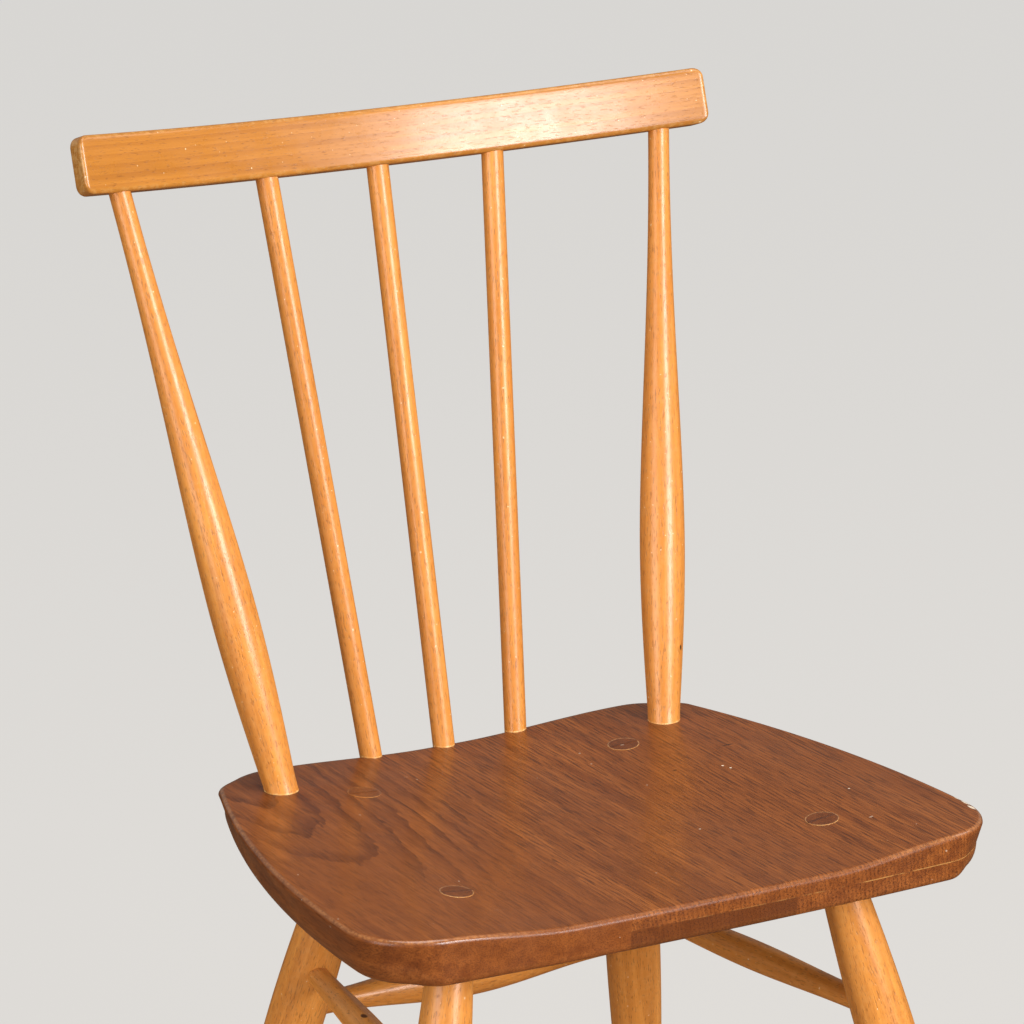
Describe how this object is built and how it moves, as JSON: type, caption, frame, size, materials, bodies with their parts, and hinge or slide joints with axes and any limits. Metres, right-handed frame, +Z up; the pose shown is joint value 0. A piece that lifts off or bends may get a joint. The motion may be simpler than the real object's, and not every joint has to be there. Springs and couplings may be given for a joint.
{
  "type": "stick-back dining chair",
  "caption": "Wooden dining chair with a dished seat, splayed turned legs tied by stretchers, and a leaning back of posts and spindles under a curved crest rail.",
  "frame": {"origin": "on the floor, under the middle of the whole chair's box", "axes": "+Z up from the floor, the chair's front faces -Y, +X to the right of someone looking at its front"},
  "size_m": [0.4648, 0.4397, 0.8329],
  "materials": {
    "elm_seat": "worn reddish-brown satin varnish",
    "elm_dark": "worn dark reddish-brown satin varnish",
    "wedge_wood": "satin varnish over end grain",
    "beech_under": "honey-orange satin varnish",
    "beech_back": "honey-orange semi-gloss varnish",
    "beech_rail": "honey-orange semi-gloss varnish"
  },
  "bodies": {
    "root": {"seat_board_left": "elm_seat", "seat_board_right": "elm_seat", "seat_under_middle": "elm_dark", "seat_under_right": "elm_seat", "leg_front_left": "beech_under", "leg_front_right": "beech_under", "leg_rear_left": "beech_under", "leg_rear_right": "beech_under", "wedge_front_left": "wedge_wood", "wedge_front_right": "wedge_wood", "wedge_rear_left": "wedge_wood", "wedge_rear_right": "wedge_wood", "side_stretcher_left": "beech_under", "side_stretcher_right": "beech_under", "rear_stretcher": "beech_under", "back_post_left": "beech_back", "back_post_right": "beech_back", "spindle_left": "beech_back", "spindle_centre": "beech_back", "spindle_right": "beech_back", "crest_rail": "beech_rail"}
  },
  "joints": []
}
